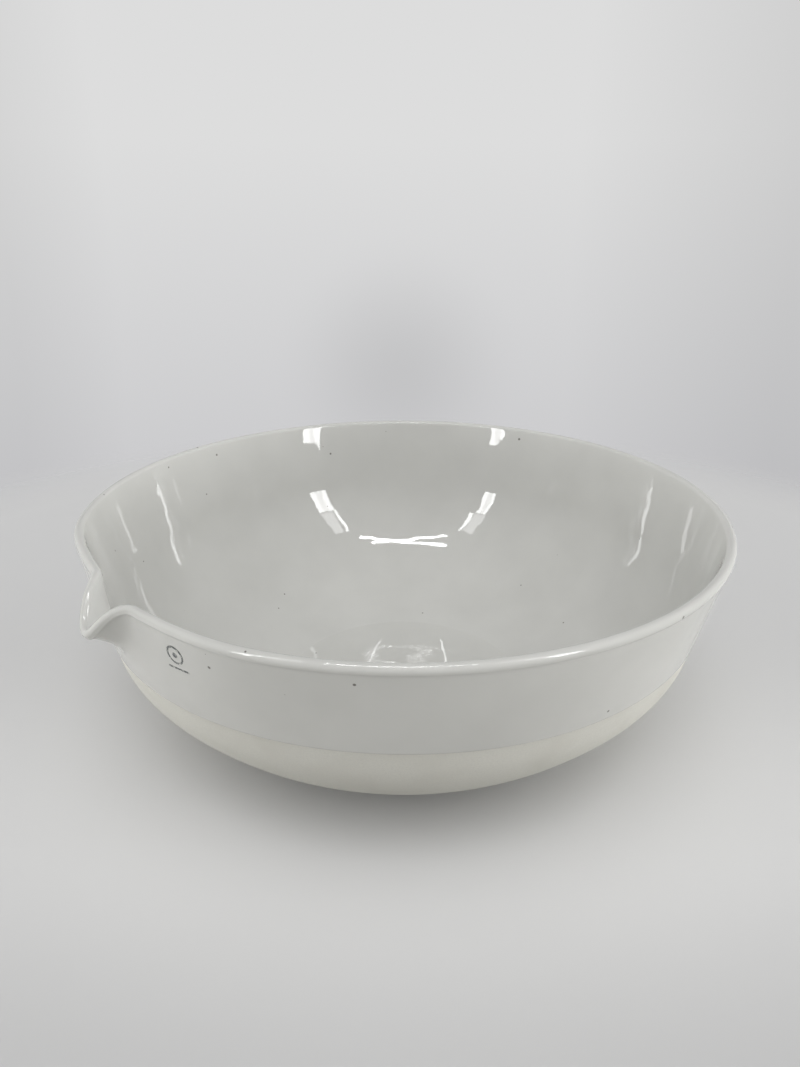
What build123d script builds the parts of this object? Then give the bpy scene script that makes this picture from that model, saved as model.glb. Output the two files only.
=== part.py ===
"""Porcelain evaporating basin with a rolled rim, a pouring lip and a flat foot, in millimetres.

The origin is the middle of the foot, on the plane that the basin stands on. +Z is up and the lip
points along +X. The fired clay body, the glaze fused over it and the printed mark are three nodes.
"""
import os
from math import ceil, cos, degrees, pi, radians, sin, tan

from build123d import *

# Bowl. The rim's diameter and the height are over the glaze; the other sizes are the clay's.
RIM_DIAMETER = 315.0
HEIGHT = 112.0
FOOT_DIAMETER = 127.0
FOOT_SLOPE = 12.0  # degrees from level, where the wall leaves the foot
KNEE_INSET = 24.0  # from the rim in to the bend between the belly and the wall
KNEE_HEIGHT = 41.5
WALL_DEPTH = 51.0  # the straight upper wall reaches this far below the rim, outside
INNER_WALL_DEPTH = 39.0  # and this far inside
WALL_LEAN = 13.7  # degrees from upright, straight upper wall
WALL_THICKNESS = 3.3  # straight upper wall
KNEE_THICKNESS = 4.3
FLOOR_THICKNESS = 5.5
RIM_BEAD = 3.9  # diameter of the rolled rim

# A low round step that the forming tool left in the floor, just outside the edge of the foot.
FLOOR_RING_OUTSET = 1.5  # from the edge of the foot out to the middle of the step
FLOOR_RING_RISE = 0.5
FLOOR_RING_WIDTH = 2.5
INNER_SLOPE = 11.0  # degrees from level, where the inner wall leaves the step

# Pouring lip, pressed out of the rim.
LIP_HALF_WIDTH = 22.3  # along the rim, from the middle of the lip to its shoulder
LIP_DEPTH = 36.0  # below this depth the wall keeps its round shape
LIP_FLARE = 15.3  # out from the leaning wall
LIP_DROP = 14.2  # down along the wall
LIP_PINCH = 3.5  # the rim beside the lip is drawn in by this
LIP_PINCH_REACH = 64.0  # along the rim from the shoulder, over which the pinch dies out
LIP_SKEW = 0.3  # share of the pinch that moves to the side away from the mark
LIP_THINNING = 0.25  # share of the bead that is pressed away at the lip

# Glaze and printed mark.
GLAZE = 0.35
GLAZE_LINE_DEPTH = 43.0  # the outside is bare clay below this depth
MARK_ANGLE = 16.5  # degrees round from the lip
MARK_DEPTH = 12.5  # below the rim, to the middle of the ring
MARK_INK = 0.08
MARK_RING = 8.4
MARK_LINE = 0.8
MARK_DOT = 2.4
MARK_BAR = 10.4
MARK_BAR_DROP = 6.6  # from the middle of the ring to the middle of the bar

# Shapes of the curves, as exponents and angles.
FLARE_POWER = 2.8  # the lip turns out late up the wall
DROP_POWER = 1.64  # the lip is lowest in its middle
PINCH_POWER = 2.0
BEAD_START = -30.0  # degrees up from outward, where the wall runs into the bead
BEAD_END = 180.0
BEAD_STEPS = 6
WALL_STEPS = 5
LIP_STEP = 5.0  # between sections, along the rim

# Derived sizes.
RIM_RADIUS = RIM_DIAMETER / 2
BEAD_RADIUS = RIM_BEAD / 2
BEAD_CENTRE_RADIUS = RIM_RADIUS - GLAZE - BEAD_RADIUS
BEAD_CENTRE_HEIGHT = HEIGHT - GLAZE - BEAD_RADIUS
JOINT_HEIGHT = HEIGHT - LIP_DEPTH
RUN = BEAD_CENTRE_HEIGHT - JOINT_HEIGHT
WALL_FOOT_HEIGHT = HEIGHT - WALL_DEPTH
INNER_FOOT_HEIGHT = HEIGHT - INNER_WALL_DEPTH
FOOT_RADIUS = FOOT_DIAMETER / 2
LEAN = radians(WALL_LEAN)
NECK = 1 - RIM_BEAD * cos(LEAN) / RUN  # share of the run where the neck under the bead starts
OUT_OFFSET = WALL_THICKNESS - BEAD_RADIUS  # from the guide surface to the outer face of the wall
TINY = 1e-4  # step for directions, in radians and in shares
FUSE_GAP = 1e-3  # faces nearer than this are one face
LIP_SPAN = (LIP_HALF_WIDTH + LIP_PINCH_REACH) / RIM_RADIUS + 2 * TINY  # half of the lip's part, in radians


def raised_cosine(share):
    """Smooth hump: 1 at 0, falling to 0 at 1 and beyond."""
    return (1 + cos(pi * share)) / 2 if abs(share) < 1 else 0.0


def lip_press(angle):
    """How far the lip is pressed out at an angle: 1 in its middle, 0 from its shoulders on."""
    return raised_cosine(angle * RIM_RADIUS / LIP_HALF_WIDTH)


def lip_pinch(angle):
    """How far the rim is drawn in at an angle: more on one side, as the lip was pressed by hand."""
    across = angle * RIM_RADIUS / LIP_HALF_WIDTH
    side = 1 - LIP_SKEW * sin(pi / 2 * max(-1.0, min(1.0, across)))
    return LIP_PINCH * side * raised_cosine(max(abs(across) - 1, 0) * LIP_HALF_WIDTH / LIP_PINCH_REACH)


def bead_radius(angle):
    """Radius of the bead, which is pressed thinner towards the lip."""
    return BEAD_RADIUS * (1 - LIP_THINNING * raised_cosine(angle / LIP_SPAN))


def guide_point(angle, share):
    """Point of the wall's guide surface, from the joint (share 0) to the middle of the bead (share 1)."""
    press = lip_press(angle)
    drop = LIP_DROP * press**DROP_POWER * share
    height = JOINT_HEIGHT + RUN * share
    radius = BEAD_CENTRE_RADIUS - tan(LEAN) * (BEAD_CENTRE_HEIGHT - height + drop)
    radius += LIP_FLARE * press * share**FLARE_POWER - lip_pinch(angle) * share**PINCH_POWER
    return Vector(radius * cos(angle), radius * sin(angle), height - drop)


def guide_frame(angle, share):
    """Point of the guide surface with its outward and upward unit directions."""
    low = max(share - TINY, 0)
    up = guide_point(angle, share + TINY) - guide_point(angle, low)
    across = guide_point(angle + TINY, share) - guide_point(angle - TINY, share)
    out = across.cross(up).normalized()
    return guide_point(angle, share), out, up.normalized()


def wall_rows(angle, offset):
    """Points up one face of the wall, from the joint plane to the neck under the bead."""
    radial = Vector(cos(angle), sin(angle), 0)
    rows = [guide_point(angle, 0) + radial * (offset / cos(LEAN))]
    for step in range(1, WALL_STEPS + 1):
        point, out, _ = guide_frame(angle, NECK * step / WALL_STEPS)
        rows.append(point + out * offset)
    return rows


def spline(points, start, end):
    """Smooth curve with evenly spaced knots, so that neighbouring sections share them."""
    steps = len(points) - 1
    knots = [i / steps for i in range(steps + 1)]
    return Edge.make_spline(points, tangents=[start, end], parameters=knots)


def ring_section(angle, grow):
    """Closed outline of the upper wall and rim at one angle, thickened by grow on each face."""
    centre, out, up = guide_frame(angle, 1)
    _, _, start_up = guide_frame(angle, 0)
    radius = bead_radius(angle) + grow
    turns = [radians(BEAD_START + (BEAD_END - BEAD_START) * i / BEAD_STEPS) for i in range(BEAD_STEPS + 1)]
    bead = [centre + out * (radius * cos(turn)) + up * (radius * sin(turn)) for turn in turns]
    bead_up = up * cos(turns[0]) - out * sin(turns[0])
    outer = wall_rows(angle, OUT_OFFSET + grow)
    inner = wall_rows(angle, -BEAD_RADIUS - grow)
    return Wire(
        [
            spline(outer + [bead[0]], start_up, bead_up),
            spline(bead, bead_up, up * -1),
            spline([bead[-1]] + inner[::-1], up * -1, start_up * -1),
            Edge.make_line(inner[0], outer[0]),
        ]
    )


def upper_ring(grow):
    """Wall above the joint with its rim: the plain part, turned, and the part that carries the lip."""
    plain = Solid.revolve(Face(ring_section(LIP_SPAN, grow)), 360 - 2 * degrees(LIP_SPAN), Axis.Z)
    half = ceil(LIP_SPAN * RIM_RADIUS / LIP_STEP)
    angles = [LIP_SPAN * i / half for i in range(-half, half + 1)]
    return plain, Solid.make_loft([ring_section(angle, grow) for angle in angles])


def slope(angle):
    """Unit direction in the profile's plane, at an angle in degrees up from outward."""
    return Vector(cos(radians(angle)), 0, sin(radians(angle)))


def wall_line(offset, height):
    """Point of the straight upper wall at a height, offset outward from the guide surface."""
    radius = BEAD_CENTRE_RADIUS - tan(LEAN) * (BEAD_CENTRE_HEIGHT - height) + offset / cos(LEAN)
    return Vector(radius, 0, height)


def bowl_curve(start, start_slope, knee, offset, top):
    """Curve in the bowl's wall from near the foot, through the knee, to the straight wall at height top."""
    points = [start, knee, wall_line(offset, top)]
    return Edge.make_spline(points, tangents=[slope(start_slope), slope(90 - WALL_LEAN)])


def knee_point(inward):
    """Point at the knee, moved from the outside into the clay, square to the wall."""
    knee = Vector(RIM_RADIUS - KNEE_INSET, 0, KNEE_HEIGHT)
    outside = bowl_curve(Vector(FOOT_RADIUS, 0, 0), FOOT_SLOPE, knee, OUT_OFFSET, WALL_FOOT_HEIGHT)
    along = outside.tangent_at(outside.param_at_point(knee))
    return knee + Vector(-along.Z, 0, along.X) * inward


def lower_bowl(grow):
    """Floor, foot and wall below the joint, thickened by grow on each face."""
    foot = Vector(FOOT_RADIUS, 0, 0) + slope(FOOT_SLOPE - 90) * grow
    outside = bowl_curve(foot, FOOT_SLOPE, knee_point(-grow), OUT_OFFSET + grow, WALL_FOOT_HEIGHT)
    floor = FLOOR_THICKNESS + grow
    ring_radius = FOOT_RADIUS + FLOOR_RING_OUTSET
    ring_in = Vector(ring_radius - FLOOR_RING_WIDTH / 2, 0, floor)
    ring_out = Vector(ring_radius + FLOOR_RING_WIDTH / 2, 0, floor + FLOOR_RING_RISE)
    step = Edge.make_spline([ring_in, ring_out], tangents=[slope(0), slope(INNER_SLOPE)])
    knee = knee_point(KNEE_THICKNESS + grow)
    inside = bowl_curve(ring_out, INNER_SLOPE, knee, -BEAD_RADIUS - grow, INNER_FOOT_HEIGHT)
    outer_top = wall_line(OUT_OFFSET + grow, JOINT_HEIGHT)
    inner_top = wall_line(-BEAD_RADIUS - grow, JOINT_HEIGHT)
    profile = Wire(
        [
            Edge.make_line(Vector(0, 0, foot.Z), foot),
            outside,
            Edge.make_line(outside @ 1, outer_top),
            Edge.make_line(outer_top, inner_top),
            Edge.make_line(inner_top, inside @ 1),
            inside,
            step,
            Edge.make_line(ring_in, Vector(0, 0, floor)),
            Edge.make_line(Vector(0, 0, floor), Vector(0, 0, foot.Z)),
        ]
    )
    return Solid.revolve(Face(profile), 360, Axis.Z)


def basin(grow):
    """Whole basin as one solid, thickened by grow on every face."""
    plain, lip = upper_ring(grow)
    return lower_bowl(grow).fuse(plain, lip, tol=FUSE_GAP)


def bare_region():
    """Everything outside the middle of the wall and below the glaze line."""
    offset = OUT_OFFSET - WALL_THICKNESS / 2
    foot = Vector(FOOT_RADIUS, 0, FLOOR_THICKNESS / 2)
    middle = bowl_curve(foot, FOOT_SLOPE, knee_point(KNEE_THICKNESS / 2), offset, WALL_FOOT_HEIGHT)
    corners = [
        middle @ 1,
        wall_line(offset, HEIGHT),
        Vector(RIM_DIAMETER, 0, HEIGHT),
        Vector(RIM_DIAMETER, 0, -HEIGHT),
        Vector(0, 0, -HEIGHT),
        Vector(0, 0, foot.Z),
        foot,
    ]
    edges = [Edge.make_line(a, b) for a, b in zip(corners, corners[1:])]
    outside = Solid.revolve(Face(Wire([middle] + edges)), 360, Axis.Z)
    above = Pos(0, 0, HEIGHT - GLAZE_LINE_DEPTH) * Cylinder(
        2 * RIM_DIAMETER, 2 * HEIGHT, align=(Align.CENTER, Align.CENTER, Align.MIN)
    )
    return outside - above


def mark_figure():
    """Plain printed figure: a ring with a dot in it, over a short bar."""
    ring = Circle(MARK_RING / 2) - Circle(MARK_RING / 2 - MARK_LINE)
    bar = Pos(0, -MARK_BAR_DROP) * Rectangle(MARK_BAR, MARK_LINE)
    return ring + Circle(MARK_DOT / 2) + bar


def printed_mark(glazed):
    """Ink skin on the glaze, where the figure stands out of the middle of the wall."""
    angle = radians(MARK_ANGLE)
    share = (HEIGHT - MARK_DEPTH - JOINT_HEIGHT) / RUN
    point, out, _ = guide_frame(angle, share)
    middle = point + out * (OUT_OFFSET - WALL_THICKNESS / 2)
    face = Plane(origin=middle, x_dir=Vector(-sin(angle), cos(angle), 0), z_dir=out)
    figure = extrude(face * mark_figure(), amount=WALL_THICKNESS)
    plain, lip = upper_ring(GLAZE + MARK_INK)
    return (figure & plain.fuse(lip, tol=FUSE_GAP)) - glazed


def main():
    """Build the three nodes and write one STEP file for each."""
    os.makedirs("parts", exist_ok=True)
    body = basin(0)
    glazed = basin(GLAZE)
    nodes = {
        "porcelain_body": body,
        "glaze_coat": glazed.cut(body, bare_region()),
        "printed_mark": printed_mark(glazed),
    }
    for name, shape in nodes.items():
        shape.label = name
        export_step(shape, f"parts/{name}.step")
        print(name, "solids", len(shape.solids()), "volume", round(shape.volume, 1), "valid", shape.is_valid)


main()
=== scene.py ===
"""Porcelain evaporating basin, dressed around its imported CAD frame.

The clay body and the glaze are turned from their profiles, pressed into a pouring lip and given
ceramic finishes. Lengths in the classes are millimetres and turn into metres where a mesh is made.
"""

import logging
from dataclasses import dataclass
from enum import Enum
from math import atan2, cos, hypot, pi, radians, sin, sqrt, tan

import bpy
from mathutils import Matrix, Vector

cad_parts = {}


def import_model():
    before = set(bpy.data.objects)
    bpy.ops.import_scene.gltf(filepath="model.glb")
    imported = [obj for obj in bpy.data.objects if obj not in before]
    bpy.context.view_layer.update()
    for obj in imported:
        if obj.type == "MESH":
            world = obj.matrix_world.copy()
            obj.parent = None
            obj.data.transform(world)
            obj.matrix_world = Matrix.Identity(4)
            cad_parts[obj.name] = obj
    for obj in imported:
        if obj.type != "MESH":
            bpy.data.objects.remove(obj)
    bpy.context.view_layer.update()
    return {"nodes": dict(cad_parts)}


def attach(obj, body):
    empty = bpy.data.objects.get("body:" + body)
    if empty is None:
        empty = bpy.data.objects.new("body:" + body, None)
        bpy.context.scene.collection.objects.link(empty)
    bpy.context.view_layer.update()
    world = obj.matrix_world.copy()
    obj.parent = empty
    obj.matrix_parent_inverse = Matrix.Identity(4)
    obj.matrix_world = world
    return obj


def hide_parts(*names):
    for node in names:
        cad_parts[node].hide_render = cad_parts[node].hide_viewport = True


MM = 0.001
LOG = logging.getLogger("basin")

Profile = list[tuple[float, float]]
# Where a change starts and ends, and the values there.
Ramp = tuple[float, float, float, float]


class Face(Enum):
    """Which face of the wall an offset belongs to, as the sign of its direction."""

    OUTER = 1
    INNER = -1


def linear(code: str) -> tuple[float, float, float, float]:
    """Turn an sRGB hex colour into linear RGBA.

    Args:
        code: Six hex digits, with or without a leading hash.

    Returns:
        Linear red, green, blue and an alpha of 1.
    """
    digits = code.lstrip("#")
    values = [int(digits[i : i + 2], 16) / 255 for i in (0, 2, 4)]
    low, high = 12.92, 1.055
    return (*[v / low if v <= 0.04045 else ((v + 0.055) / high) ** 2.4 for v in values], 1.0)


def add_node(
    tree: bpy.types.NodeTree, kind: str, settings: dict | None = None, inputs: dict | None = None
) -> bpy.types.Node:
    """Add a node with its settings and links.

    Args:
        tree: Node tree that gets the node.
        kind: Blender's type name of the node.
        settings: Attributes to set on the node.
        inputs: Input name or number to a value, or to the socket that feeds it.

    Returns:
        The new node.
    """
    node = tree.nodes.new(kind)
    for name, value in (settings or {}).items():
        setattr(node, name, value)
    for key, value in (inputs or {}).items():
        if isinstance(value, bpy.types.NodeSocket):
            tree.links.new(value, node.inputs[key])
        else:
            node.inputs[key].default_value = value
    return node


def ramped(value: bpy.types.NodeSocket, ramp: Ramp) -> dict:
    """Inputs that make a value follow a ramp.

    Args:
        value: Socket that feeds the ramp.
        ramp: The ramp.

    Returns:
        Input names to values, for a node that maps a range.
    """
    return {"Value": value, "From Min": ramp[0], "From Max": ramp[1], "To Min": ramp[2], "To Max": ramp[3]}


def empty_material(name: str) -> tuple[bpy.types.Material, bpy.types.NodeTree]:
    """Make a node material with nothing in it but its output.

    Args:
        name: Name of the material.

    Returns:
        The material and its node tree.
    """
    material = bpy.data.materials.new(name)
    material.use_nodes = True
    material.node_tree.nodes.clear()
    return material, material.node_tree


def raised_cosine(share: float) -> float:
    """Smooth hump: 1 at 0, falling to 0 at 1 and beyond."""
    return (1 + cos(pi * share)) / 2 if abs(share) < 1 else 0.0


def slope(angle: float) -> Vector:
    """Unit direction in the profile's plane, at an angle in degrees up from outward."""
    return Vector((cos(radians(angle)), sin(radians(angle))))


def hermite(start: Vector, end: Vector, start_pull: Vector, end_pull: Vector, share: float) -> Vector:
    """Point of a cubic between two points.

    Args:
        start: First point.
        end: Last point.
        start_pull: Derivative at the first point.
        end_pull: Derivative at the last point.
        share: Place along the curve, from 0 to 1.

    Returns:
        The point at that place.
    """
    t = share
    return (
        start * (2 * t**3 - 3 * t * t + 1)
        + start_pull * (t**3 - 2 * t * t + t)
        + end * (3 * t * t - 2 * t**3)
        + end_pull * (t**3 - t * t)
    )


@dataclass
class BasinForm:
    """Sizes and curves that the clay body and the glaze share."""

    rim_diameter: float = 315.0
    height: float = 112.0
    foot_diameter: float = 127.0
    foot_slope: float = 12.0
    knee_inset: float = 24.0
    knee_height: float = 41.5
    wall_depth: float = 51.0
    inner_wall_depth: float = 39.0
    wall_lean: float = 13.7
    wall_thickness: float = 3.3
    knee_thickness: float = 4.3
    floor_thickness: float = 5.5
    rim_bead: float = 3.9
    ring_outset: float = 1.5
    ring_rise: float = 0.5
    ring_width: float = 2.5
    inner_slope: float = 11.0
    lip_half_width: float = 22.3
    lip_depth: float = 36.0
    lip_flare: float = 15.3
    lip_drop: float = 14.2
    lip_pinch: float = 3.5
    lip_pinch_reach: float = 64.0
    lip_skew: float = 0.3
    lip_thinning: float = 0.25
    glaze: float = 0.35
    glaze_line_depth: float = 43.0
    flare_power: float = 2.8
    drop_power: float = 1.64
    pinch_power: float = 2.0
    bead_start: float = -30.0
    floor_step: float = 3.0
    wall_step: float = 1.6

    def __post_init__(self) -> None:
        """Work out the sizes that follow from the others."""
        self.rim_radius = self.rim_diameter / 2
        self.bead_radius = self.rim_bead / 2
        self.bead_centre = Vector(
            (self.rim_radius - self.glaze - self.bead_radius, self.height - self.glaze - self.bead_radius)
        )
        self.joint_height = self.height - self.lip_depth
        self.run = self.bead_centre.y - self.joint_height
        self.foot_radius = self.foot_diameter / 2
        self.lean = radians(self.wall_lean)
        self.outer_offset = self.wall_thickness - self.bead_radius
        self.wall_out = Vector((cos(self.lean), -sin(self.lean)))
        self.wall_up = Vector((sin(self.lean), cos(self.lean)))

    def wall_point(self, out: float, up: float) -> Vector:
        """Profile point from the bead's centre, square to the wall and along it."""
        return self.bead_centre + self.wall_out * out + self.wall_up * up

    def wall_at(self, out: float, height: float) -> Vector:
        """Profile point of the straight wall at a height, offset square to the wall."""
        rise = (height - self.bead_centre.y + out * sin(self.lean)) / cos(self.lean)
        return self.wall_point(out, rise)

    def offset(self, face: Face, grow: float) -> float:
        """Distance of a face of the straight wall from the bead's centre line."""
        return self.outer_offset + grow if face is Face.OUTER else -self.bead_radius - grow

    def wall_foot(self, face: Face) -> float:
        """Height where a face of the straight wall starts."""
        return self.height - (self.wall_depth if face is Face.OUTER else self.inner_wall_depth)

    def bowl_pulls(self, points: list[Vector], first: float) -> tuple[list[Vector], list[float]]:
        """Directions of the bowl's curve at its three points.

        Args:
            points: Start, knee and foot of the straight wall.
            first: Slope at the start, in degrees.

        Returns:
            The derivative at each point and the length of each chord.
        """
        chords = [(points[1] - points[0]).length, (points[2] - points[1]).length]
        rises = [(points[1] - points[0]) / chords[0], (points[2] - points[1]) / chords[1]]
        bend = (rises[1] - rises[0]) / sum(chords)
        ends = []
        for direction, free in (
            (slope(first), rises[0] - bend * chords[0]),
            (slope(90 - self.wall_lean), rises[1] + bend * chords[1]),
        ):
            size = (abs(free.x) + abs(free.y)) / (abs(direction.x) + abs(direction.y))
            ends.append(direction * size)
        middle = (
            3 * (rises[0] * chords[1] + rises[1] * chords[0]) - ends[0] * chords[1] - ends[1] * chords[0]
        ) / (2 * sum(chords))
        return [ends[0], middle, ends[1]], chords

    def bowl_curve(self, start: Vector, first: float, knee: Vector, face: Face, grow: float) -> Profile:
        """Curve from near the foot through the knee to the straight wall.

        Args:
            start: First point.
            first: Slope at the first point, in degrees.
            knee: Point that the curve passes through.
            face: Face of the wall that it runs into.
            grow: Thickness of the skin on the clay.

        Returns:
            Points of the curve, both ends included.
        """
        foot = self.wall_at(self.offset(face, grow), self.wall_foot(face))
        points = [start, knee, foot]
        pulls, chords = self.bowl_pulls(points, first)
        curve = []
        for i, chord in enumerate(chords):
            steps = round(chord / (self.floor_step if i == 0 else self.wall_step))
            for j in range(steps):
                at = hermite(points[i], points[i + 1], pulls[i] * chord, pulls[i + 1] * chord, j / steps)
                curve.append(at.to_tuple())
        return curve + [foot.to_tuple()]

    def knee_point(self, inward: float) -> Vector:
        """Point at the knee, moved from the outside into the clay, square to the wall."""
        knee = Vector((self.rim_radius - self.knee_inset, self.knee_height))
        foot = self.wall_at(self.outer_offset, self.wall_foot(Face.OUTER))
        pulls, _ = self.bowl_pulls([Vector((self.foot_radius, 0)), knee, foot], self.foot_slope)
        along = pulls[1].normalized()
        return knee + Vector((-along.y, along.x)) * inward

    def outside(self, grow: float) -> Profile:
        """Belly, from the foot's edge to the foot of the straight wall."""
        foot = Vector((self.foot_radius, 0)) + slope(self.foot_slope - 90) * grow
        return self.bowl_curve(foot, self.foot_slope, self.knee_point(-grow), Face.OUTER, grow)

    def inside(self, grow: float) -> Profile:
        """Floor, its step and the inner belly, from the axis to the foot of the straight wall."""
        floor = self.floor_thickness + grow
        middle = self.foot_radius + self.ring_outset
        start = Vector((middle - self.ring_width / 2, floor))
        end = Vector((middle + self.ring_width / 2, floor + self.ring_rise))
        width = (end - start).length
        flat = [(start.x * i / 12, floor) for i in range(12)]
        step = [
            hermite(start, end, slope(0) * width, slope(self.inner_slope) * width, i / 6).to_tuple()
            for i in range(6)
        ]
        knee = self.knee_point(self.knee_thickness + grow)
        return flat + step + self.bowl_curve(end, self.inner_slope, knee, Face.INNER, grow)

    def straight(self, face: Face, grow: float, low: float) -> Profile:
        """One face of the straight wall.

        Args:
            face: Face of the wall.
            grow: Thickness of the skin on the clay.
            low: Height where it starts.

        Returns:
            Points from just above that height up to the bead.
        """
        out = self.offset(face, grow)
        bottom = self.wall_at(out, low)
        up = (bottom - self.bead_centre).dot(self.wall_up)
        top = -self.rim_bead if face is Face.OUTER else 0.0
        steps = max(2, round((top - up) / self.wall_step))
        return [self.wall_point(out, up + (top - up) * i / steps).to_tuple() for i in range(1, steps)]

    def inner_radius(self, height: float) -> float:
        """Radius of the glazed inside at a height above the floor's step."""
        wall = self.inside(self.glaze)
        wall += self.straight(Face.INNER, self.glaze, self.wall_foot(Face.INNER))
        spans = (pair for pair in zip(wall, wall[1:]) if pair[0][1] <= height < pair[1][1])
        below, above = next(spans, wall[-2:])
        share = (height - below[1]) / (above[1] - below[1])
        return below[0] + (above[0] - below[0]) * share

    def bead(self, grow: float) -> Profile:
        """Rolled rim, from the neck outside, over the top, to the inner wall."""
        radius = self.bead_radius + grow
        neck = self.wall_point(self.outer_offset + grow, -self.rim_bead)
        turn = radians(self.bead_start)
        first = self.wall_point(radius * cos(turn), radius * sin(turn))
        away = self.wall_up * cos(turn) - self.wall_out * sin(turn)
        reach = (first - neck).length
        points = [
            hermite(neck, first, self.wall_up * reach, away * reach, i / 5).to_tuple() for i in range(5)
        ]
        turns = [radians(self.bead_start + (180 - self.bead_start) * i / 18) for i in range(19)]
        return points + [self.wall_point(radius * cos(a), radius * sin(a)).to_tuple() for a in turns]

    def guide_point(self, angle: float, share: float) -> Vector:
        """Point of the wall's guide surface, from the joint (share 0) to the bead's centre (share 1).

        Args:
            angle: Angle round from the lip, in radians.
            share: Height above the joint, as a share of the run.

        Returns:
            The point, in millimetres.
        """
        across = angle * self.rim_radius / self.lip_half_width
        press = raised_cosine(across)
        away = max(abs(across) - 1, 0) * self.lip_half_width / self.lip_pinch_reach
        side = 1 - self.lip_skew * sin(pi / 2 * max(-1.0, min(1.0, across)))
        pinch = self.lip_pinch * side * raised_cosine(away)
        drop = self.lip_drop * press**self.drop_power * share
        height = self.joint_height + self.run * share
        radius = self.bead_centre.x - tan(self.lean) * (self.bead_centre.y - height + drop)
        radius += self.lip_flare * press * share**self.flare_power - pinch * share**self.pinch_power
        return Vector((radius * cos(angle), radius * sin(angle), height - drop))

    def pressed(self, point: Vector) -> Vector:
        """Where a point of the round basin goes when the lip is pressed out of its wall.

        Args:
            point: Point on or near the wall, in millimetres.

        Returns:
            Its place with the lip, which is the same place away from the lip.
        """
        angle = atan2(point.y, point.x)
        away = Vector((hypot(point.x, point.y), point.z)) - self.bead_centre
        out, up = away.dot(self.wall_out), away.dot(self.wall_up)
        share = min(1 + up * cos(self.lean) / self.run, 1.0)
        reach = (self.lip_half_width + self.lip_pinch_reach) / self.rim_radius
        if share <= 0 or abs(angle) > reach:
            return point
        tiny = 1e-4
        low = max(share - tiny, 0)
        rise = (self.guide_point(angle, share + tiny) - self.guide_point(angle, low)).normalized()
        across = self.guide_point(angle + tiny, share) - self.guide_point(angle - tiny, share)
        outward = across.cross(rise).normalized()
        if share == 1.0:
            size = max(hypot(out, up), 1e-6)
            thinner = 1 - self.bead_radius * self.lip_thinning * raised_cosine(angle / reach) / size
            out, up = out * thinner, up * thinner
        return self.guide_point(angle, share) + outward * out + rise * max(up, 0)


@dataclass
class TurnedPiece:
    """A piece turned from a closed profile, as on a wheel, and pressed into the basin's lip."""

    form: BasinForm
    name: str
    segments: int = 360

    def profile(self) -> Profile:
        """Points of the half section, from the axis round to the axis, in millimetres."""
        raise NotImplementedError

    def draw_profile(self) -> bpy.types.Object:
        """Draw the half section as a chain of edges, by extruding one vertex.

        Returns:
            The object, still in edit mode with all of the chain selected.
        """
        bpy.ops.object.select_all(action="DESELECT")
        points = self.profile()
        start = Vector((points[0][0], 0, points[0][1])) * MM
        bpy.ops.mesh.primitive_plane_add(size=MM, location=start)
        piece = bpy.context.object
        piece.name = piece.data.name = self.name
        bpy.ops.object.transform_apply(location=True, rotation=True, scale=True)
        bpy.ops.object.mode_set(mode="EDIT")
        bpy.ops.mesh.select_all(action="SELECT")
        bpy.ops.mesh.merge(type="CENTER")
        for before, after in zip(points, points[1:]):
            move = Vector((after[0] - before[0], 0, after[1] - before[1])) * MM
            bpy.ops.mesh.extrude_region_move(TRANSFORM_OT_translate={"value": move})
        bpy.ops.mesh.select_all(action="SELECT")
        return piece

    def turn(self) -> bpy.types.Object:
        """Turn the profile once round the axis and close the seam.

        Returns:
            The closed, smooth object, in object mode.
        """
        piece = self.draw_profile()
        bpy.ops.object.mode_set(mode="OBJECT")
        bpy.ops.object.modifier_add(type="SCREW")
        lathe = piece.modifiers[-1]
        lathe.steps = lathe.render_steps = self.segments
        lathe.use_merge_vertices = True
        bpy.ops.object.modifier_apply(modifier=lathe.name)
        bpy.ops.object.mode_set(mode="EDIT")
        bpy.ops.mesh.select_all(action="SELECT")
        bpy.ops.mesh.remove_doubles(threshold=1e-6)
        bpy.ops.mesh.normals_make_consistent(inside=False)
        bpy.ops.object.mode_set(mode="OBJECT")
        bpy.ops.object.shade_smooth()
        return piece

    def worked(self, point: Vector) -> Vector:
        """Where the maker's hands move a point of the turned piece, in millimetres."""
        return self.form.pressed(point)

    def build(self) -> bpy.types.Object:
        """Turn the piece and work it into its final shape.

        Returns:
            The finished mesh object.
        """
        piece = self.turn()
        for vertex in piece.data.vertices:
            vertex.co = self.worked(vertex.co / MM) * MM
        piece.data.update()
        return piece


@dataclass
class ClayBody(TurnedPiece):
    """The fired clay: foot, belly, wall and rim, bare below the glaze line outside."""

    name: str = "fired_clay_body"

    def profile(self) -> Profile:
        """Half section of the clay, from the middle of the foot to the middle of the floor."""
        form = self.form
        foot = [(form.foot_radius * i / 12, 0.0) for i in range(12)]
        outer = foot + form.outside(0) + form.straight(Face.OUTER, 0, form.wall_foot(Face.OUTER))
        inner = form.inside(0) + form.straight(Face.INNER, 0, form.wall_foot(Face.INNER))
        return outer + form.bead(0) + inner[::-1]


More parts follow.
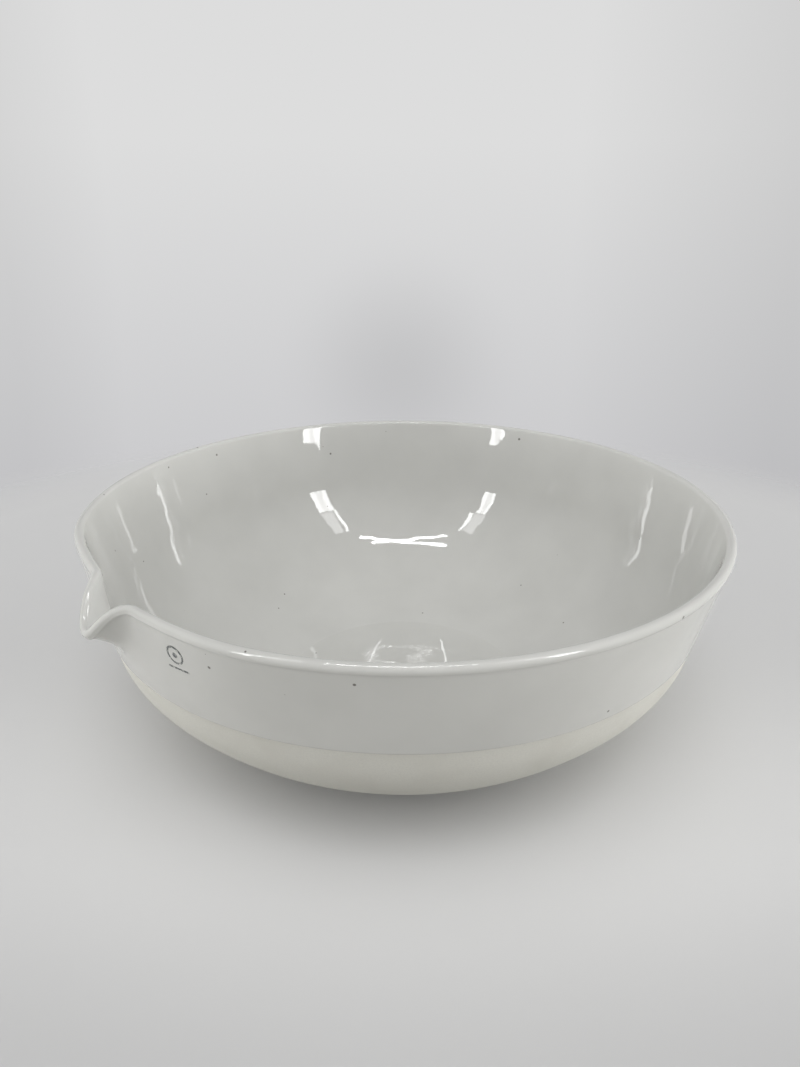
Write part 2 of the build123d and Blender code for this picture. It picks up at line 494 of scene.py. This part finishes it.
@dataclass
class GlazeCoat(TurnedPiece):
    """The glaze: a closed skin from the glaze line outside, over the rim, to the inner floor."""

    name: str = "glossy_glaze_coat"
    bond: float = 0.02
    line_round: float = 0.9
    shrink: float = 0.01
    wander: float = 0.35

    def profile(self) -> Profile:
        """Half section of the skin: its face against the clay, its edge, and its free face."""
        form = self.form
        line = form.height - form.glaze_line_depth
        free = form.glaze - self.shrink
        clay = form.inside(self.bond) + form.straight(Face.INNER, self.bond, form.wall_foot(Face.INNER))
        clay += form.bead(self.bond)[::-1] + form.straight(Face.OUTER, self.bond, line)[::-1]
        edge = []
        for i in range(7):
            along = self.line_round * (1 - cos(pi / 2 * i / 6))
            thick = self.bond + (free - self.bond) * sin(pi / 2 * i / 6)
            edge.append(form.wall_at(form.outer_offset + thick, line + along).to_tuple())
        face = form.straight(Face.OUTER, free, line + self.line_round) + form.bead(free)
        inner = form.inside(free) + form.straight(Face.INNER, free, form.wall_foot(Face.INNER))
        return clay + edge + face + inner[::-1]

    def worked(self, point: Vector) -> Vector:
        """Where a point ends up: the glaze line wanders a little, as a dipped edge does."""
        form = self.form
        line = form.height - form.glaze_line_depth
        middle = form.wall_at(form.outer_offset - form.wall_thickness / 2, point.z)
        if abs(point.z - line) < 1.5 * self.line_round and hypot(point.x, point.y) > middle[0]:
            angle = atan2(point.y, point.x)
            rise = self.wander * (0.6 * sin(3 * angle + 1.0) + 0.4 * sin(7 * angle + 2.1))
            out = point.xy.normalized() * rise * tan(radians(form.wall_lean))
            point = point + Vector((out.x, out.y, rise))
        return super().worked(point)


def mixed_tone(
    tree: bpy.types.NodeTree, where: bpy.types.NodeSocket, size: float, tones: tuple, spread: tuple
) -> bpy.types.NodeSocket:
    """Blotches of two tones.

    Args:
        tree: Node tree that gets the nodes.
        where: Object coordinates.
        size: Usual size of a blotch in millimetres.
        tones: The two tones, as colours or as sockets.
        spread: Noise values that give the first tone alone and the second tone alone.

    Returns:
        The mixed colour.
    """
    noise = add_node(
        tree, "ShaderNodeTexNoise", inputs={"Vector": where, "Scale": 1 / (size * MM), "Detail": 3.0}
    )
    share = add_node(
        tree,
        "ShaderNodeMapRange",
        inputs={"Value": noise.outputs["Fac"], "From Min": spread[0], "From Max": spread[1]},
    )
    mix = add_node(
        tree,
        "ShaderNodeMix",
        settings={"data_type": "RGBA"},
        inputs={"Factor": share.outputs["Result"], 6: tones[0], 7: tones[1]},
    )
    return mix.outputs[2]


def uneven(
    tree: bpy.types.NodeTree,
    height: bpy.types.NodeSocket,
    depth: float,
    under: bpy.types.NodeSocket | None = None,
) -> bpy.types.NodeSocket:
    """Small relief of a surface.

    Args:
        tree: Node tree that gets the node.
        height: Height between 0 and 1.
        depth: Height of the relief in millimetres.
        under: Normal with the relief under this one, if any.

    Returns:
        The normal.
    """
    inputs = {"Height": height, "Distance": depth * MM, "Strength": 1.0}
    if under is not None:
        inputs["Normal"] = under
    return add_node(tree, "ShaderNodeBump", inputs=inputs).outputs["Normal"]


@dataclass(frozen=True)
class BareClay:
    """Unglazed fired porcelain: warm white, matt, with a fine grain and a little rubbed-in grey."""

    name: str = "unglazed_fired_porcelain"
    colour: str = "DAD9D1"
    stain: str = "CFCDC4"
    dust: str = "D1D0C9"
    stain_size: float = 26.0
    grain: float = 0.7
    grit_depth: float = 0.03
    roughness: float = 0.6

    def material(self) -> bpy.types.Material:
        """Build the node material."""
        material, tree = empty_material(self.name)
        where = add_node(tree, "ShaderNodeTexCoord").outputs["Object"]
        # Broad stains, like handling marks that a matt surface holds.
        tones = (linear(self.colour), linear(self.stain))
        stained = mixed_tone(tree, where, self.stain_size, tones, (0.48, 0.85))
        # Fine grain of the clay, which keeps the matt band from looking like plastic.
        colour = mixed_tone(tree, where, self.grain, (stained, linear(self.dust)), (0.4, 0.9))
        grit = add_node(
            tree,
            "ShaderNodeTexNoise",
            inputs={"Vector": where, "Scale": 1 / (self.grain * MM), "Detail": 4.0, "Roughness": 0.6},
        )
        normal = uneven(tree, grit.outputs["Fac"], self.grit_depth)
        shader = add_node(
            tree,
            "ShaderNodeBsdfPrincipled",
            inputs={"Base Color": colour, "Roughness": self.roughness, "Normal": normal},
        )
        add_node(tree, "ShaderNodeOutputMaterial", inputs={"Surface": shader.outputs["BSDF"]})
        return material


@dataclass(frozen=True)
class FeldsparGlaze:
    """Clear glaze melted over white porcelain: glossy, rippled from the forming, with iron specks."""

    name: str = "feldspar_glaze_on_porcelain"
    colour: str = "D2D2CE"
    cloud: str = "CBCBC7"
    speck: str = "4F4A42"
    cloud_size: float = 40.0
    smudge_size: float = 24.0
    cloud_spread: tuple[float, float] = (0.35, 0.75)
    ripple_length: float = 13.0
    ripple_drift: float = 35.0
    ripple_depth: float = 0.008
    pebble_size: float = 17.0
    pebble_depth: float = 0.08
    dimple_size: float = 7.0
    dimple_depth: float = 0.03
    speck_spacing: float = 13.0
    speck_size: float = 0.9
    roughness: float = 0.02

    def ripples(self, tree: bpy.types.NodeTree, where: bpy.types.NodeSocket) -> bpy.types.NodeSocket:
        """Height of the rings that the forming tool left, which follow the profile of the bowl."""
        flat = add_node(
            tree, "ShaderNodeVectorMath", settings={"operation": "MULTIPLY"}, inputs={0: where, 1: (1, 1, 0)}
        )
        radius = add_node(
            tree, "ShaderNodeVectorMath", settings={"operation": "LENGTH"}, inputs={0: flat.outputs[0]}
        )
        parts = add_node(tree, "ShaderNodeSeparateXYZ", inputs={"Vector": where})
        along = add_node(
            tree,
            "ShaderNodeMath",
            settings={"operation": "ADD"},
            inputs={0: radius.outputs["Value"], 1: parts.outputs["Z"]},
        )
        drift = add_node(
            tree,
            "ShaderNodeTexNoise",
            inputs={"Vector": where, "Scale": 1 / (self.ripple_drift * MM), "Detail": 1.0},
        )
        place = add_node(
            tree,
            "ShaderNodeMath",
            settings={"operation": "MULTIPLY_ADD"},
            inputs={0: drift.outputs["Fac"], 1: 2 * self.ripple_length * MM, 2: along.outputs[0]},
        )
        turns = add_node(
            tree,
            "ShaderNodeMath",
            settings={"operation": "MULTIPLY"},
            inputs={0: place.outputs[0], 1: 2 * pi / (self.ripple_length * MM)},
        )
        wave = add_node(tree, "ShaderNodeMath", settings={"operation": "SINE"}, inputs={0: turns.outputs[0]})
        return add_node(
            tree,
            "ShaderNodeMath",
            settings={"operation": "MULTIPLY_ADD"},
            inputs={0: wave.outputs[0], 1: 0.5, 2: 0.5},
        ).outputs[0]

    def specks(self, tree: bpy.types.NodeTree, where: bpy.types.NodeSocket) -> bpy.types.NodeSocket:
        """Share of the speck's colour: sparse round spots of different sizes."""
        cells = add_node(
            tree, "ShaderNodeTexVoronoi", inputs={"Vector": where, "Scale": 1 / (self.speck_spacing * MM)}
        )
        chance = add_node(tree, "ShaderNodeSeparateColor", inputs={"Color": cells.outputs["Color"]})
        reach = self.speck_size / self.speck_spacing
        size = add_node(
            tree,
            "ShaderNodeMath",
            settings={"operation": "MULTIPLY_ADD"},
            inputs={0: chance.outputs[0], 1: 0.75 * reach, 2: 0.25 * reach},
        )
        away = add_node(
            tree,
            "ShaderNodeMath",
            settings={"operation": "DIVIDE"},
            inputs={0: cells.outputs["Distance"], 1: size.outputs[0]},
        )
        return add_node(
            tree,
            "ShaderNodeMapRange",
            settings={"interpolation_type": "SMOOTHSTEP"},
            inputs={
                "Value": away.outputs[0], "From Min": 0.6, "From Max": 1.1, "To Min": 0.8, "To Max": 0.0,
            },
        ).outputs["Result"]

    def material(self) -> bpy.types.Material:
        """Build the node material."""
        material, tree = empty_material(self.name)
        where = add_node(tree, "ShaderNodeTexCoord").outputs["Object"]
        # Cloudy tone: the glaze lies a little thicker in some places, so the white isn't flat.
        tones = (linear(self.colour), linear(self.cloud))
        clouded = mixed_tone(tree, where, self.cloud_size, tones, self.cloud_spread)
        # Iron specks, the small dark dots seen all over the floor of the bowl.
        colour = add_node(
            tree,
            "ShaderNodeMix",
            settings={"data_type": "RGBA"},
            inputs={"Factor": self.specks(tree, where), 6: clouded, 7: linear(self.speck)},
        ).outputs[2]
        # Forming rings and a pebbled skin, which break up the edges of every reflected lamp.
        pebble = add_node(
            tree,
            "ShaderNodeTexNoise",
            inputs={"Vector": where, "Scale": 1 / (self.pebble_size * MM), "Detail": 1.5, "Roughness": 0.4},
        )
        normal = uneven(tree, pebble.outputs["Fac"], self.pebble_depth)
        normal = uneven(tree, self.ripples(tree, where), self.ripple_depth, normal)
        # Small dimples, which make a thin reflection waver.
        dimple = add_node(
            tree,
            "ShaderNodeTexNoise",
            inputs={"Vector": where, "Scale": 1 / (self.dimple_size * MM), "Detail": 0.0},
        )
        normal = uneven(tree, dimple.outputs["Fac"], self.dimple_depth, normal)
        # Smudges, where the gloss is a little dull.
        smudge = add_node(
            tree,
            "ShaderNodeTexNoise",
            inputs={"Vector": where, "Scale": 1 / (self.smudge_size * MM), "Detail": 4.0},
        )
        dullness = add_node(
            tree,
            "ShaderNodeMapRange",
            inputs={
                "Value": smudge.outputs["Fac"], "From Min": 0.5, "From Max": 0.8,
                "To Min": self.roughness, "To Max": 3 * self.roughness,
            },
        )
        shader = add_node(
            tree,
            "ShaderNodeBsdfPrincipled",
            inputs={
                "Base Color": colour, "Roughness": dullness.outputs["Result"], "IOR": 1.5, "Normal": normal,
            },
        )
        add_node(tree, "ShaderNodeOutputMaterial", inputs={"Surface": shader.outputs["BSDF"]})
        return material


@dataclass(frozen=True)
class FiredInk:
    """Dark grey ceramic ink, stamped and fired, with a worn and broken film."""

    name: str = "fired_grey_ink"
    colour: str = "55585A"
    ground: str = "C9CAC4"
    gap_size: float = 0.9
    roughness: float = 0.3

    def material(self) -> bpy.types.Material:
        """Build the node material."""
        material, tree = empty_material(self.name)
        where = add_node(tree, "ShaderNodeTexCoord").outputs["Object"]
        # Gaps in the film, where the stamp didn't print and the white ground shows.
        tones = (linear(self.colour), linear(self.ground))
        colour = mixed_tone(tree, where, self.gap_size, tones, (0.5, 0.66))
        shader = add_node(
            tree, "ShaderNodeBsdfPrincipled", inputs={"Base Color": colour, "Roughness": self.roughness}
        )
        add_node(tree, "ShaderNodeOutputMaterial", inputs={"Surface": shader.outputs["BSDF"]})
        return material


@dataclass(frozen=True)
class Glow:
    """Soft patch of brighter wall or roof, seen from the basin as right, away and up."""

    toward: tuple[float, float, float]
    sharpness: float
    strength: float
    flatness: float = 1.0


@dataclass(frozen=True)
class Echo:
    """Streak in a side wall, where the far wall mirrors a corner panel into it.

    Each end is a place on the side wall: degrees from straight away, towards the right, and a height.
    The strip may run on below its low end, where the foot of the straight wall would break the streak.
    """

    name: str
    high: tuple[float, float]
    low: tuple[float, float]
    share: float
    run_on: float = 0.0


@dataclass
class Studio:
    """Pale floor, soft light all round, the light tent's tubes and the camera.

    Places are given from where the camera stands: to its right, away from it, and up. They are in
    millimetres, except in the ramps, which are in metres on the floor and unit directions beyond it.
    """

    form: BasinForm
    bearing: float = 229.4
    camera_right: float = -1.7
    camera_back: float = 379.6
    camera_height: float = 251.9
    pitch: float = 22.69
    view_height: float = 1.33375
    floor_radius: float = 1300.0
    paper_colour: str = "DADADA"
    bounce_tint: tuple[float, float, float] = (1.0, 0.99, 0.955)
    bounce_aside: Ramp = (0.04, 0.3, 0.4, 1.0)
    # Painted light on the paper the camera sees: lighter in a band just in front of the basin, darker towards
    # the camera and a little darker behind.
    painted_light_near: Ramp = (-0.23, -0.12, 0.87, 1.06)
    painted_light_far: Ramp = (-0.1, 0.05, 1.0, 0.93)
    paper_end: Ramp = (0.42, 0.56, 0.0, 1.0)
    # Painted shade on the backdrop: its tone is darker towards the floor and towards both sides.
    backdrop_low: str = "CCCCCE"
    backdrop_high: str = "DDDDDD"
    backdrop_rise: Ramp = (-0.28, 0.06, 0.0, 1.0)
    backdrop_right_shade: Ramp = (0.2, 0.42, 1.0, 0.86)
    backdrop_left_shade: Ramp = (-0.32, -0.42, 1.0, 0.91)
    # Painted shadow of the basin on the backdrop, just above its rim.
    painted_shadow_toward: tuple[float, float, float] = (0.0, 0.98, -0.19)
    painted_shadow_fade: Ramp = (0.0, 0.16, 0.87, 1.0)
    tube_strength: float = 14.0
    echo_width: float = 3.0
    echo_gap: float = 3.0
    mirror_rounds: int = 8
    evenness: float = 0.1
    sheen: float = 0.5
    glows: tuple[Glow, ...] = (
        Glow((0.0, -0.37, 0.93), 12.0, 3.7),
        Glow((-0.61, -0.61, 0.5), 10.0, 0.25),
        Glow((0.61, -0.61, 0.5), 10.0, 0.25),
        Glow((1.0, 0.1, 0.0), 4.0, 3.4, 8.0),
        Glow((-1.0, 0.1, 0.0), 4.0, 2.4, 8.0),
        Glow((1.0, 0.1, 0.0), 4.0, 3.7, 4.0),
        Glow((-1.0, 0.1, 0.0), 4.0, 2.3, 4.0),
        Glow((1.0, 0.0, 0.1), 6.0, 1.4),
        Glow((-1.0, 0.0, 0.1), 6.0, 1.3),
    )
    streaks: tuple[Echo, ...] = (
        Echo("echo_left_low", (-69.0, 102.0), (-69.5, 74.0), 0.3, 4.0),
        Echo("echo_left_high", (-64.0, 100.0), (-63.5, 85.0), 0.1),
        Echo("echo_left_side", (-84.5, 103.0), (-84.5, 76.0), 0.1),
        Echo("echo_right_low", (70.0, 101.0), (72.0, 73.0), 0.3),
        Echo("echo_right_side", (85.5, 103.0), (89.0, 81.0), 0.1),
    )

    def place(self, right: float, away: float, up: float) -> Vector:
        """Turn a place seen from the camera into the frame's axes, in metres."""
        ahead = radians(self.bearing)
        across = ahead - pi / 2
        return MM * Vector(
            (
                right * cos(across) + away * cos(ahead),
                right * sin(across) + away * sin(ahead),
                up,
            )
        )

    def on_wall(self, turn: float, height: float) -> Vector:
        """Place on the glazed inner wall, as right, away and up."""
        radius = self.form.inner_radius(height)
        return Vector((radius * sin(radians(turn)), radius * cos(radians(turn)), height))

    def mirrored(self, seen: Vector) -> Vector:
        """Place just before the far wall that the camera sees in a side wall.

        Args:
            seen: Place on the side wall, as right, away and up.

        Returns:
            The mirrored place, in the same terms.
        """
        spread = (self.form.inner_radius(seen.z + 1) - self.form.inner_radius(seen.z - 1)) / 2
        inward = Vector((-seen.x, -seen.y, seen.xy.length * spread)).normalized()
        way = seen - Vector((self.camera_right, -self.camera_back, self.camera_height))
        way -= 2 * way.dot(inward) * inward
        way /= way.xy.length
        toward = seen.xy.dot(way.xy)
        radius = seen.xy.length
        # Each round takes the wall's radius at the height where the way met it in the last one.
        for _ in range(self.mirror_rounds):
            reach = sqrt(toward**2 + radius**2 - seen.xy.length_squared) - toward
            radius = self.form.inner_radius(seen.z + reach * way.z) - self.echo_gap
        return seen + reach * way

    def camera(self) -> None:
        """Make the camera and give it to the scene."""
        data = bpy.data.cameras.new("camera")
        data.sensor_width = 36.0
        data.lens = data.sensor_width / self.view_height
        data.clip_start, data.clip_end = 0.01, 50.0
        camera = bpy.data.objects.new("camera", data)
        bpy.context.scene.collection.objects.link(camera)
        camera.location = self.place(self.camera_right, -self.camera_back, self.camera_height)
        ahead = radians(self.bearing)
        look = Vector(
            (
                cos(ahead) * cos(radians(self.pitch)),
                sin(ahead) * cos(radians(self.pitch)),
                -sin(radians(self.pitch)),
            )
        )
        camera.rotation_mode = "QUATERNION"
        camera.rotation_quaternion = look.to_track_quat("-Z", "Y")
        bpy.context.scene.camera = camera

    def floor(self) -> bpy.types.Object:
        """Round pale floor that fades into the backdrop's tone."""
        bpy.ops.object.select_all(action="DESELECT")
        bpy.ops.mesh.primitive_circle_add(
            vertices=128, radius=self.floor_radius * MM, fill_type="NGON", location=(0, 0, -0.00002)
        )
        floor = bpy.context.object
        floor.name = "studio_floor"
        bpy.ops.object.transform_apply(location=True, rotation=True, scale=True)
        floor.data.materials.append(self.paper())
        return floor

    def paper(self) -> bpy.types.Material:
        """White paper with a painted pool of lamp light in front of the basin; it throws less light back
        right in front and ends where the backdrop begins.
        """
        material, tree = empty_material("pale_paper")
        where = add_node(tree, "ShaderNodeTexCoord").outputs["Object"]
        turned = add_node(
            tree,
            "ShaderNodeMapping",
            settings={"vector_type": "POINT"},
            inputs={"Vector": where, "Rotation": (0, 0, radians(90 - self.bearing))},
        )
        parts = add_node(tree, "ShaderNodeSeparateXYZ", inputs={"Vector": turned.outputs["Vector"]})
        aside = add_node(
            tree, "ShaderNodeMath", settings={"operation": "ABSOLUTE"}, inputs={0: parts.outputs["X"]}
        )
        bounce = add_node(
            tree,
            "ShaderNodeMapRange",
            settings={"interpolation_type": "SMOOTHSTEP"},
            inputs=ramped(aside.outputs[0], self.bounce_aside),
        )
        # Painted light: the seen paper is lighter in a band just in front of the basin, where the roof lamps
        # fall, and darker towards the camera and behind.
        near = add_node(
            tree,
            "ShaderNodeMapRange",
            settings={"interpolation_type": "SMOOTHSTEP"},
            inputs=ramped(parts.outputs["Y"], self.painted_light_near),
        )
        far = add_node(
            tree,
            "ShaderNodeMapRange",
            settings={"interpolation_type": "SMOOTHSTEP"},
            inputs=ramped(parts.outputs["Y"], self.painted_light_far),
        )
        painted_light_band = add_node(
            tree,
            "ShaderNodeMath",
            settings={"operation": "MULTIPLY"},
            inputs={0: near.outputs["Result"], 1: far.outputs["Result"]},
        )
        paper = add_node(
            tree,
            "ShaderNodeVectorMath",
            settings={"operation": "SCALE"},
            inputs={0: linear(self.paper_colour)[:3], "Scale": painted_light_band.outputs[0]},
        )
        warm = add_node(
            tree,
            "ShaderNodeVectorMath",
            settings={"operation": "SCALE"},
            inputs={0: self.bounce_tint, "Scale": bounce.outputs["Result"]},
        )
        path = add_node(tree, "ShaderNodeLightPath")
        colour = add_node(
            tree,
            "ShaderNodeMix",
            settings={"data_type": "RGBA"},
            inputs={
                "Factor": path.outputs["Is Diffuse Ray"], 6: paper.outputs[0], 7: warm.outputs[0],
            },
        )
        shader = add_node(
            tree, "ShaderNodeBsdfDiffuse", inputs={"Color": colour.outputs[2], "Roughness": 0.0}
        )
        away = add_node(
            tree,
            "ShaderNodeVectorMath",
            settings={"operation": "LENGTH"},
            inputs={0: turned.outputs["Vector"]},
        )
        beyond = add_node(
            tree,
            "ShaderNodeMapRange",
            settings={"interpolation_type": "SMOOTHSTEP"},
            inputs=ramped(away.outputs["Value"], self.paper_end),
        )
        hidden = add_node(
            tree,
            "ShaderNodeMath",
            settings={"operation": "MULTIPLY"},
            inputs={0: beyond.outputs["Result"], 1: path.outputs["Is Camera Ray"]},
        )
        clear = add_node(tree, "ShaderNodeBsdfTransparent")
        mix = add_node(
            tree,
            "ShaderNodeMixShader",
            inputs={0: hidden.outputs[0], 1: shader.outputs["BSDF"], 2: clear.outputs["BSDF"]},
        )
        add_node(tree, "ShaderNodeOutputMaterial", inputs={"Surface": mix.outputs[0]})
        return material

    def tube(
        self, name: str, start: tuple, end: tuple, width: float, strength: float, aim: tuple = (0, 0, 50)
    ) -> None:
        """Hang a straight light tube between two places, facing a third.

        Args:
            name: Name of the lamp.
            start: One end, as right, away and up.
            end: Other end.
            width: Width of the tube in millimetres.
            strength: Radiance, where 1 is a white card in full light.
            aim: Place that it faces.
        """
        a, b = self.place(*start), self.place(*end)
        middle, along = (a + b) / 2, b - a
        data = bpy.data.lights.new(name, "AREA")
        data.shape = "RECTANGLE"
        data.size, data.size_y = along.length, width * MM
        data.energy = strength * pi * data.size * data.size_y
        lamp = bpy.data.objects.new(name, data)
        bpy.context.scene.collection.objects.link(lamp)
        x = along.normalized()
        z = (middle - self.place(*aim)).normalized()
        y = z.cross(x).normalized()
        z = x.cross(y).normalized()
        lamp.matrix_world = Matrix.Translation(middle) @ Matrix((x, y, z)).transposed().to_4x4()
        lamp.visible_camera = False
        lamp.visible_diffuse = False

    def tubes(self) -> None:
        """Hang the tent's lights: a panel in each front corner and two strips under its roof."""
        bright, soft, dim = self.tube_strength, 0.75 * self.tube_strength, 0.35 * self.tube_strength
        self.tube("corner_right_low_a", (454, -422, 237), (454, -422, 530), 30, bright)
        self.tube("corner_right_low_b", (432, -442, 237), (432, -442, 530), 30, soft)
        self.tube("corner_right_low_c", (410, -461, 237), (410, -461, 530), 30, bright)
        self.tube("corner_right_high", (438, -437, 545), (438, -437, 955), 72, dim)
        self.tube("corner_right_edge", (394, -474, 530), (386, -468, 955), 22, bright)
        self.tube("corner_left_low_a", (-462, -414, 238), (-462, -414, 580), 22, bright)
        self.tube("corner_left_low_b", (-446, -430, 238), (-446, -430, 580), 22, soft)
        self.tube("corner_left_low_c", (-430, -446, 238), (-430, -446, 580), 22, bright)
        self.tube("corner_left_high", (-446, -430, 595), (-446, -430, 955), 80, dim)
        self.tube("corner_left_edge", (-403, -466, 590), (-395, -460, 955), 24, bright)
        self.tube("roof_strip_a", (274, -385, 960), (-245, -275, 960), 32, 2.2 * bright)
        self.tube("roof_strip_b", (190, -310, 960), (-290, -419, 960), 32, 2.2 * bright)

    def echoes(self) -> None:
        """Hang a thin strip before the far wall for each streak that the camera sees in a side wall."""
        for streak in self.streaks:
            ends = [self.on_wall(*streak.high), self.on_wall(*streak.low)]
            high, low = (self.mirrored(end) for end in ends)
            low += (low - high).normalized() * streak.run_on
            strength = streak.share * self.tube_strength
            self.tube(streak.name, high, low, self.echo_width, strength, (ends[0] + ends[1]) / 2)

    def world(self) -> None:
        """Light the basin from all round, with a glow for each side of the room."""
        world = bpy.data.worlds.new("studio")
        bpy.context.scene.world = world
        world.use_nodes = True
        tree = world.node_tree
        tree.nodes.clear()
        place = add_node(tree, "ShaderNodeTexCoord")
        turned = add_node(
            tree,
            "ShaderNodeMapping",
            settings={"vector_type": "POINT"},
            inputs={"Vector": place.outputs["Generated"], "Rotation": (0, 0, radians(90 - self.bearing))},
        )
        parts = add_node(tree, "ShaderNodeSeparateXYZ", inputs={"Vector": turned.outputs["Vector"]})
        total = self.evenness
        for glow in self.glows:
            flat = add_node(
                tree,
                "ShaderNodeVectorMath",
                settings={"operation": "MULTIPLY"},
                inputs={0: turned.outputs["Vector"], 1: (1, 1, glow.flatness)},
            )
            unit = add_node(
                tree, "ShaderNodeVectorMath", settings={"operation": "NORMALIZE"}, inputs={0: flat.outputs[0]}
            )
            toward = add_node(
                tree,
                "ShaderNodeVectorMath",
                settings={"operation": "DOT_PRODUCT"},
                inputs={0: unit.outputs[0], 1: Vector(glow.toward).normalized()},
            )
            facing = add_node(
                tree,
                "ShaderNodeMath",
                settings={"operation": "MAXIMUM"},
                inputs={0: toward.outputs["Value"], 1: 0.0},
            )
            lobe = add_node(
                tree,
                "ShaderNodeMath",
                settings={"operation": "POWER"},
                inputs={0: facing.outputs[0], 1: glow.sharpness},
            )
            added = add_node(
                tree,
                "ShaderNodeMath",
                settings={"operation": "MULTIPLY_ADD"},
                inputs={0: lobe.outputs[0], 1: glow.strength, 2: total},
            )
            total = added.outputs[0]
        path = add_node(tree, "ShaderNodeLightPath")
        level = add_node(
            tree,
            "ShaderNodeMix",
            inputs={0: path.outputs["Is Glossy Ray"], 2: total, 3: self.sheen},
        )
        light = add_node(
            tree, "ShaderNodeBackground", inputs={"Color": (1, 1, 1, 1), "Strength": level.outputs[0]}
        )
        # Backdrop that the camera sees, with painted shade: darker towards the floor and towards both sides.
        tone = add_node(
            tree, "ShaderNodeMapRange", inputs=ramped(parts.outputs["Z"], self.backdrop_rise)
        )
        shade = add_node(
            tree,
            "ShaderNodeMix",
            settings={"data_type": "RGBA"},
            inputs={
                "Factor": tone.outputs["Result"], 6: linear(self.backdrop_low), 7: linear(self.backdrop_high),
            },
        )
        right = add_node(
            tree,
            "ShaderNodeMapRange",
            inputs=ramped(parts.outputs["X"], self.backdrop_right_shade),
        )
        left = add_node(
            tree,
            "ShaderNodeMapRange",
            inputs=ramped(parts.outputs["X"], self.backdrop_left_shade),
        )
        # Painted shadow of the basin on the backdrop, a darker patch just above its rim.
        away = add_node(
            tree,
            "ShaderNodeVectorMath",
            settings={"operation": "DISTANCE"},
            inputs={0: turned.outputs["Vector"], 1: self.painted_shadow_toward},
        )
        painted_shadow = add_node(
            tree,
            "ShaderNodeMapRange",
            settings={"interpolation_type": "SMOOTHSTEP"},
            inputs=ramped(away.outputs["Value"], self.painted_shadow_fade),
        )
        strength = add_node(
            tree,
            "ShaderNodeMath",
            settings={"operation": "MULTIPLY"},
            inputs={0: right.outputs["Result"], 1: left.outputs["Result"]},
        )
        strength = add_node(
            tree,
            "ShaderNodeMath",
            settings={"operation": "MULTIPLY"},
            inputs={0: strength.outputs[0], 1: painted_shadow.outputs["Result"]},
        )
        backdrop = add_node(
            tree, "ShaderNodeBackground", inputs={"Color": shade.outputs[2], "Strength": strength.outputs[0]}
        )
        mix = add_node(
            tree,
            "ShaderNodeMixShader",
            inputs={0: path.outputs["Is Camera Ray"], 1: light.outputs[0], 2: backdrop.outputs[0]},
        )
        add_node(tree, "ShaderNodeOutputWorld", inputs={"Surface": mix.outputs[0]})

    def build(self) -> None:
        """Set up the whole studio."""
        self.floor()
        self.tubes()
        self.echoes()
        self.world()
        self.camera()
        bpy.context.scene.view_settings.view_transform = "Standard"


def main() -> None:
    """Build each piece in order."""
    logging.basicConfig(level=logging.INFO, format="%(message)s")
    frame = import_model()
    form = BasinForm()
    body = ClayBody(form).build()
    body.data.materials.append(BareClay().material())
    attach(body, "root")
    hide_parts("porcelain_body")
    LOG.info("%s: %d faces", body.name, len(body.data.polygons))
    coat = GlazeCoat(form).build()
    coat.data.materials.append(FeldsparGlaze().material())
    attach(coat, "root")
    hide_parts("glaze_coat")
    LOG.info("%s: %d faces", coat.name, len(coat.data.polygons))
    mark = frame["nodes"]["printed_mark"]
    mark.data.materials.clear()
    mark.data.materials.append(FiredInk().material())
    LOG.info("%s: %d faces", mark.name, len(mark.data.polygons))
    Studio(form).build()


if __name__ == "__main__":
    main()
